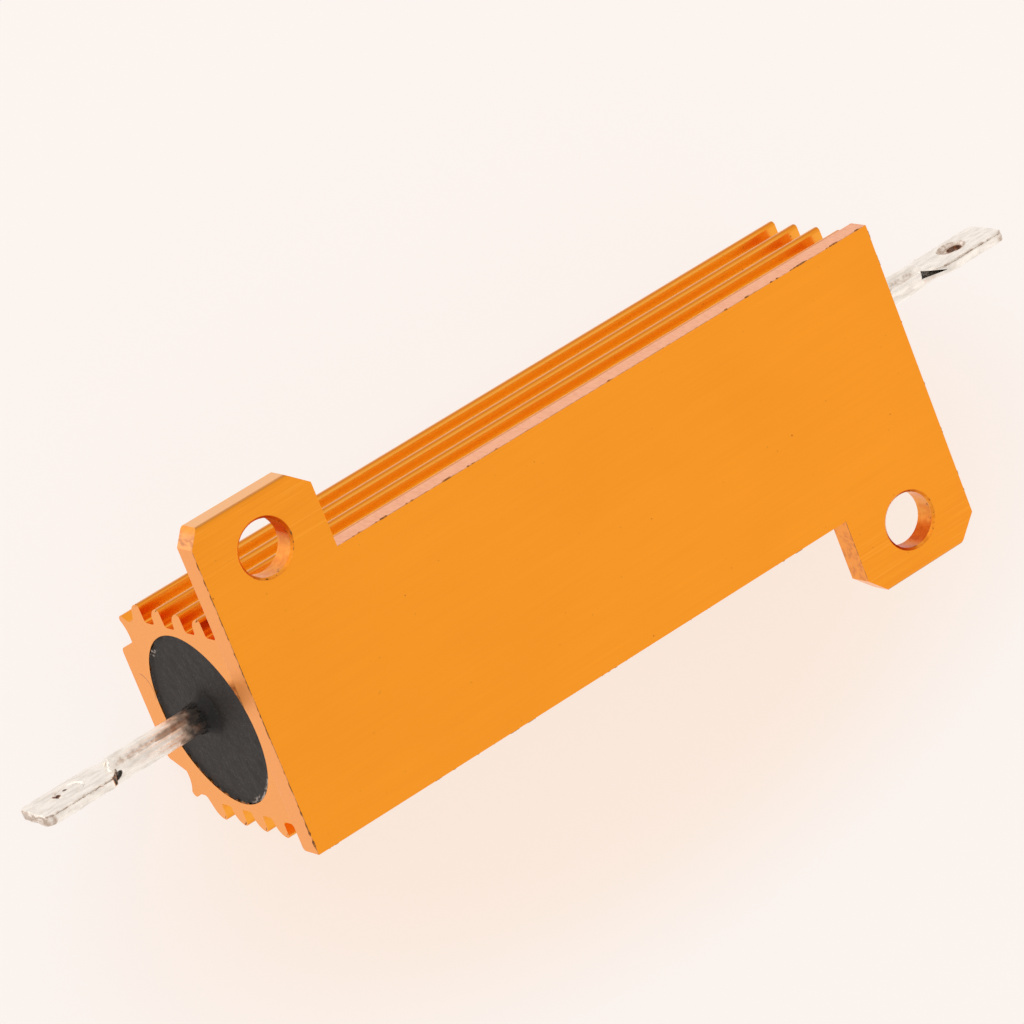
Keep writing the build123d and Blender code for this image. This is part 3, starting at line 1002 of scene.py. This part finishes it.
@dataclass
class Terminal:
    """One tinned terminal: a shank rolled from strip, a gaping neck and a lug pressed flat, with its eye.

    Both parts are closed surfaces that grow into each other in the neck, built for +X and mirrored for the left.
    The mouth is the outline of the opening in X and Y, and the neck gives the two X between which the lug's near
    side widens. The corners are the radii of the tip's far and near corner, and smoke says how far soot spread.
    The notch is the seam's section along the lug, point by point from the near edge to the near face.
    """

    end: End
    seed: int
    mouth: np.ndarray
    shank_end: float
    corner_far: float
    corner_near: float
    eye_hole: float
    eye_shift: tuple[float, float]
    smoke: float
    neck: tuple[float, float]
    axis: tuple[float, float] = (-0.45, 7.24)
    start: float = 18.35
    tip: float = 37.7
    shank_radius: float = 0.912
    seam_turn: float = math.radians(229)
    seam_half: float = 0.36
    seam_depth: float = 0.15
    neck_width: float = 1.42
    neck_thickness: float = 1.4
    lug_width: float = 3.58
    lug_thickness: float = 0.71
    bare_from: float = 24.4
    crease_turn: float = math.radians(278)
    lip_turn: float = math.radians(262)
    lip_lean: float = 0.4
    lug_start: float = 30.9
    widening: tuple[float, float] = (31.0, 32.9)
    flattening: tuple[float, float] = (30.95, 32.3)
    tip_length: float = 1.4
    mouth_depth: tuple[float, float] = (2.2, 0.5)
    notch_across: tuple[float, ...] = (0.0, 0.01, 0.02, 0.07, 0.065, 0.02, 0.02, 0.05)
    notch_lift: tuple[float, ...] = (0.17, 0.13, 0.115, 0.1, 0.085, 0.07, 0.035, 0.0)
    eye: tuple[float, float] = (34.8, 7.49)
    eye_radius: float = 1.03
    open_eye: float = 0.4

    @property
    def pierced(self) -> bool:
        """Whether the eye is an open hole in a deep dish, and not a slit in a raised ring."""
        return self.eye_hole > self.open_eye

    def from_seam(self, turn: np.ndarray) -> np.ndarray:
        """Returns the angle between each turn round the shank and its seam, from 0 to pi."""
        return np.abs((turn - self.seam_turn + math.pi) % (2 * math.pi) - math.pi)

    def build(self, material: bpy.types.Material) -> None:
        """Builds shank and lug, lets the stains and painted shade into them and puts them in the solid's place."""
        node = f"terminal_{self.end.name.lower()}"
        for part, mesh in (("shank", self.shank()), ("lug", self.lug())):
            self.stain(mesh)
            self.mirror(mesh)
            piece = place(mesh, f"{node}_{part}", material, 0.9)
            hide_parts(node)

    def shank(self) -> bpy.types.Mesh:
        """Builds the rolled tube.

        Its outer radius is a circle with a V groove at the seam, a faint crease and seeded lumps; the outer end is a
        rounded lip that turns into the tube.
        """
        hidden = np.linspace(self.start, self.bare_from, 8)[:-1]
        x = np.concatenate([hidden, np.linspace(self.bare_from, self.shank_end, 90)])
        turn = full_turn(192)
        valley = self.seam_depth * smooth(self.from_seam(turn), self.seam_half, 0.04)
        crease = 0.035 * np.exp(-(((turn - self.crease_turn) / 0.07) ** 2))
        radius = self.shank_radius - valley - crease - 0.015 * (1 - np.cos(4 * turn)) / 2
        where = np.stack(np.broadcast_arrays(x[:, None], 1.2 * np.cos(turn), 1.2 * np.sin(turn)), axis=-1)
        lumps = 0.008 * ripple(where * (0.5, 1, 1), 1.8, self.seed, 3) - 0.01
        radius = radius[None] + lumps
        # The lip: the last rows round over in a quarter circle and go back down the tube
        lean = self.lip_lean * np.clip(np.cos(turn - self.lip_turn), 0, 1) ** 1.5
        bow = np.linspace(0, math.pi / 2, 9)[1:]
        depth = np.concatenate([0.22 * np.sin(bow), [0.18, 0.0, -0.5, -1.2]])
        share = np.concatenate([1 - 0.28 * (1 - np.cos(bow)), [0.66, 0.62, 0.58, 0.58]])
        lip_x = self.shank_end + depth[:, None] + lean[None] * smooth(depth, -1.2, -0.4)[:, None]
        lip_radius = radius[-1][None] * share[:, None]
        x_all = np.concatenate([x[:, None] + lean[None] * smooth(x, 29.5, self.shank_end)[:, None], lip_x])
        radius_all = np.concatenate([radius, lip_radius])
        y = self.axis[0] + radius_all * np.cos(turn)
        z = self.axis[1] + radius_all * np.sin(turn)
        return cut_away(grid_mesh("shank", np.stack([x_all, y, z], axis=-1)), [self.mouth_cutter()])

    def lug(self) -> bpy.types.Mesh:
        """Builds the pressed lug and cuts its mouth and eye.

        Each section is a rounded rectangle with a notch at its (-Y, -Z) corner; width and thickness ease from the
        neck's to the lug's, and the section's ends follow the rounded corners of the tip.
        """
        x = np.concatenate([
            np.linspace(self.lug_start, 33.0, 44)[:-1],
            np.linspace(33.0, self.tip - self.tip_length, 70)[:-1],
            self.tip - self.tip_length * (1 - np.sin(np.linspace(0, 0.97 * math.pi / 2, 18))),
        ])
        width = self.neck_width + (self.lug_width - self.neck_width) * smooth(x, *self.widening)
        thick = self.neck_thickness + (self.lug_thickness - self.neck_thickness) * smooth(x, *self.flattening)
        # The very tip is rounded in its thickness too
        thick = thick * (1 - 0.25 * smooth(x, self.tip - 0.1, self.tip))
        round_far = self.corner_cut(x, self.corner_far)
        round_near = self.corner_cut(x, self.corner_near)
        across, lift = self.section(thick, width)
        # The near side widens later, beyond the shank's lip
        across = np.where(across < 0, across * (2 * self.near_half(x) / width)[:, None], across)
        z = across * (1 - (round_far * (across > 0) + round_near * (across < 0)))
        where = np.stack(np.broadcast_arrays(x[:, None], lift, z), axis=-1)
        lumps = 0.012 * ripple(where, 1.3, self.seed + 5, 3)
        wall = smooth(np.abs(across), self.lug_width / 2 - 0.3, self.lug_width / 2)
        lumps = lumps + 0.02 * wall * ripple(where, 0.4, self.seed + 6, 2)
        face = smooth(np.abs(lift), 0.2, 0.3)
        sink = self.eye_dish(x[:, None], z) * face
        lift = np.sign(lift) * np.maximum(np.abs(lift) + lumps - 0.012 - sink, 0.02)
        # The sheared tip is rough: x eases back by up to 0.08 mm, and three shrinking rings close it
        shear = 0.05 + 0.03 * ripple(where, 0.5, self.seed + 7, 2)
        x_all = x[:, None] - smooth(x, self.tip - 0.5, self.tip)[:, None] * shear
        points = np.stack([x_all, lift, z], axis=-1)
        rings = [points[-1] * (1, share, share) for share in (0.85, 0.6, 0.3)]
        rings = [ring + (0.02 * ripple(ring, 0.4, self.seed + 8, 2) - 0.01)[:, None] * (1, 0, 0) for ring in rings]
        points = np.concatenate([points, rings]) + (0, *self.axis)
        return cut_away(grid_mesh("lug", points), [self.mouth_cutter(), self.eye_cutter()])

    def near_half(self, x: np.ndarray) -> np.ndarray:
        """The neck's half width towards -Z at each x: it eases from the neck's at the lip to the lug's."""
        narrow, broad = self.neck_width / 2, self.lug_width / 2
        return narrow + (broad - narrow) * smooth(x, *self.neck)

    def section(self, thick: np.ndarray, width: np.ndarray) -> tuple[np.ndarray, np.ndarray]:
        """Samples the section's outline for each row.

        Args:
            thick: thickness of each row.
            width: width of each row.

        Returns:
            Across (Z) and lift (Y) of each row's points, measured from the axis.
        """
        half_t, half_w = thick[:, None] / 2, width[:, None] / 2
        share = 0.55 + 0.43 * smooth(thick, 1.0, 1.35)[:, None]
        bend = np.minimum(half_t * share, 0.3 + 0.45 * smooth(thick, 0.8, 1.5)[:, None])
        arc = np.linspace(0, math.pi / 2, 8)[None]
        run = np.linspace(-1, 1, 74)[None, 1:-1]
        side = np.linspace(-1, 1, 10)[None, 1:-1]
        flat_w, flat_t = half_w - bend, half_t - bend
        # The seam's notch takes the place of the (-Y, -Z) corner where the lug is flat
        open_up = smooth(width, 2.2, 3.3)[:, None]
        notch_w = np.array([self.notch_across]) * open_up
        notch_t = np.array([self.notch_lift]) * open_up
        notch_w = notch_w + bend * (1 - np.cos(arc)) * (1 - open_up)
        notch_t = notch_t + bend * (1 - np.sin(arc)) * (1 - open_up)
        down = np.linspace(0, 1, 10)[None, 1:-1] * (notch_t[:, :1] - half_t - flat_t)
        # Round from the (-Y, -Z) corner: the near face, the far edge, the back face, the near edge
        pieces = [
            (flat_w * run, -half_t + 0 * run),
            (flat_w + bend * np.sin(arc), -flat_t - bend * np.cos(arc)),
            (half_w + 0 * side, flat_t * side),
            (flat_w + bend * np.cos(arc), flat_t + bend * np.sin(arc)),
            (-flat_w * run, half_t + 0 * run),
            (-flat_w - bend * np.sin(arc), flat_t + bend * np.cos(arc)),
            (-half_w + 0 * down, flat_t + down),
            (-half_w + notch_w, -half_t + notch_t),
        ]
        across, lift = (
            np.concatenate([np.broadcast_to(piece[k], (len(thick), piece[1].shape[1])) for piece in pieces], axis=1)
            for k in range(2)
        )
        return across, lift

    def corner_cut(self, x: np.ndarray, radius: float) -> np.ndarray:
        """Share of the half width that a rounded corner takes away at each x: (r - sqrt(r^2 - d^2)) / half width."""
        past = np.clip(x - (self.tip - radius), 0, radius)
        return ((radius - np.sqrt(radius**2 - past**2 + 1e-9)) / (self.lug_width / 2))[:, None]

    def eye_dish(self, x: np.ndarray, z: np.ndarray) -> np.ndarray:
        """Depth of the dish round the eye: a flat floor that rises over a sloped ring at the eye's radius."""
        away = np.hypot(x - self.eye[0], z - (self.eye[1] - self.axis[1]))
        rise = smooth(away, self.eye_radius, self.eye_radius - 0.3)
        if self.pierced:
            return 0.2 * rise
        return 0.06 * rise + 0.09 * np.exp(-(((away - self.eye_radius * 0.88) / 0.07) ** 2))

    def mouth_cutter(self) -> bpy.types.Mesh:
        """Makes the wedge that opens the neck: the mouth's outline in X and Y, run along Z from below the lug."""
        levels = [self.axis[1] - depth for depth in self.mouth_depth]
        rows = [np.column_stack([self.mouth, np.full(len(self.mouth), z)]) for z in levels]
        return grid_mesh("mouth", np.array(rows))

    def eye_cutter(self) -> bpy.types.Mesh:
        """Makes the ragged pin that pierces the eye: radius = hole * (1 + noise), run along Y."""
        turn = full_turn(48)
        circle = np.stack([np.cos(turn), np.sin(turn)], axis=-1)
        ragged = self.eye_hole * (1 + 0.14 * ripple(circle, 1.6, self.seed + 9, 2))
        x = self.eye[0] + self.eye_shift[0] + ragged * np.cos(turn)
        z = self.eye[1] + self.eye_shift[1] + ragged * np.sin(turn) * (1.0 if self.pierced else 0.5)
        rows = [np.stack([x, np.full_like(x, y), z], axis=-1) for y in (-1.6, 0.7)]
        return grid_mesh("pin", np.array(rows))

    def outside_mouth(self, flat: np.ndarray) -> np.ndarray:
        """Returns how far each (x, y) is outside the mouth: the largest of the distances to its edges' lines."""
        edge = np.roll(self.mouth, -1, axis=0) - self.mouth
        normal = unit(np.stack([edge[:, 1], -edge[:, 0]], axis=-1))
        normal *= np.sign(np.sum(normal * (self.mouth - self.mouth.mean(axis=0)), axis=1, keepdims=True))
        return np.max(np.sum((flat[:, None] - self.mouth) * normal, axis=-1), axis=1)

    def stain(self, mesh: bpy.types.Mesh) -> None:
        """Writes where brass and soot show and where shade is painted: by the moulding, in the seam with painted
        shade, round the mouth, painted shade in the mouth and on the eye's dish, darker along the notch and in the
        eye.
        """
        p = positions(mesh)
        x, y, z = p[:, 0], p[:, 1] - self.axis[0], p[:, 2] - self.axis[1]
        lumps = ripple(p, 1.2, self.seed + 10, 3)
        by_disc = smooth(x + 0.5 * lumps, 28.2, 26.2)
        # Painted shade under the seam's bead, with a real brown stain towards the moulding on the smoked end
        seam_shade_and_stain = smooth(self.from_seam(np.arctan2(z, y)), 0.36, 0.16)
        seam_shade_and_stain = seam_shade_and_stain * smooth(x, self.shank_end + 0.05, self.shank_end - 0.1)
        outside = self.outside_mouth(p[:, :2])
        low = smooth(z, -0.3, -0.6)
        middle = self.mouth[:, 0].mean()
        at_mouth = smooth(outside, 0.16, 0.02) * low * smooth(x, middle - 0.1, middle + 0.25)
        # Painted shade in the gap of the mouth
        shade_in_mouth = smooth(outside, 0.02, -0.01) * low * smooth(z, -1.0 - 0.75 * smooth(x, 32.1, 32.9), -0.8)
        notch = np.hypot(y + self.lug_thickness / 2 - 0.08, z + self.lug_width / 2 - 0.08)
        in_notch = smooth(notch, 0.12, 0.05) * smooth(x, 31.9, 32.6)
        # The hole (darker in and round it), its dish (painted shade on its slope) and the two marks of the eye, by the
        # distances from the eye's middle
        off_x, off_z = x - self.eye[0], p[:, 2] - self.eye[1]
        eye = np.hypot(off_x - self.eye_shift[0], off_z - self.eye_shift[1])
        flat = smooth(x, 33.0, 33.4)
        in_eye = smooth(eye, self.eye_hole + 0.12, self.eye_hole) * flat
        shade_on_dish = smooth(np.hypot(off_x, off_z), self.eye_radius + 0.02, self.eye_radius - 0.08) * flat * self.pierced
        mark = smooth(np.hypot(off_x - 0.1, off_z - 0.42), 0.2, 0.08) * (self.smoke > 0) * (y < 0)
        cut = np.where(z > 0, self.corner_far, self.corner_near)
        over = np.clip(np.abs(z) - (self.lug_width / 2 - cut), 0, cut)
        tip = smooth(self.tip - cut + np.sqrt(cut**2 - over**2) - x, 0.16, 0.08)
        stain = (
            by_disc * (0.55 + 0.4 * smooth(lumps, -0.2, 0.6)),
            seam_shade_and_stain * (0.2 + 0.56 * smooth(x, 29.6, 26.6) * self.smoke),
            0.95 * self.smoke * at_mouth,
            0.9 * in_eye,
            0.34 * shade_on_dish,
            0.3 * tip,
            0.28 * in_notch,
            0.8 * mark,
        )
        soot_and_shade = (
            0.8 * mark,
            smooth(x + 0.3 * lumps, 27.7, 25.8) * 0.92,
            0.85 * shade_in_mouth,
            0.14 * in_notch,
            0.14 * seam_shade_and_stain * (1 - self.smoke),
            0.3 * tip * smooth(np.abs(y), 0.26, 0.33) * (x > 33),
            0.6 * in_eye * smooth(eye, self.eye_hole + 0.05, self.eye_hole - 0.02),
        )
        write_attribute(mesh, "stain", np.maximum.reduce(stain))
        write_attribute(mesh, "soot_and_shade", np.maximum.reduce(soot_and_shade))

    def mirror(self, mesh: bpy.types.Mesh) -> None:
        """Turns the mesh to its end by X's sign; placing it turns its faces outwards again."""
        places = positions(mesh)
        places[:, 0] *= self.end.value
        mesh.vertices.foreach_set("co", (places * MM).ravel())
        mesh.update()


def main() -> None:
    """Builds the studio and dresses every piece of the resistor in order."""
    logging.basicConfig(level=logging.INFO, format="%(name)s: %(message)s")
    Studio().build()
    Housing().dress()
    epoxy = FilledEpoxy().material()
    dress_node("moulding", epoxy)
    for end, seed in ((End.LEFT, 31), (End.RIGHT, 47)):
        MouldingFace(end, seed).build(epoxy)
    dress_node("ceramic_core", ALUMINA.material())
    dress_node("resistance_winding", NICKEL_CHROME.material())
    steel = PLATED_STEEL.material()
    dress_node("end_cap_left", steel)
    dress_node("end_cap_right", steel)
    tin = TinnedBrass().material()
    turn = full_turn(16)
    slot = 0.44 * np.outer(np.cos(turn), (0.9, 0.43)) + 0.22 * np.outer(np.sin(turn), (-0.43, 0.9)) + (32.1, -0.34)
    Terminal(
        End.LEFT,
        seed=61,
        mouth=slot,
        shank_end=31.85,
        corner_far=0.55,
        corner_near=0.62,
        eye_hole=0.2,
        eye_shift=(0.85, 0.1),
        smoke=1.0,
        neck=(31.7, 32.9),
    ).build(tin)
    Terminal(
        End.RIGHT,
        seed=75,
        mouth=np.array([(31.48, -0.9), (31.3, -0.42), (32.85, -0.44), (32.5, -0.57)]),
        shank_end=31.25,
        corner_far=0.62,
        corner_near=0.58,
        eye_hole=0.48,
        eye_shift=(0.2, 0.0),
        smoke=0.0,
        neck=(30.8, 33.2),
    ).build(tin)


if __name__ == "__main__":
    main()
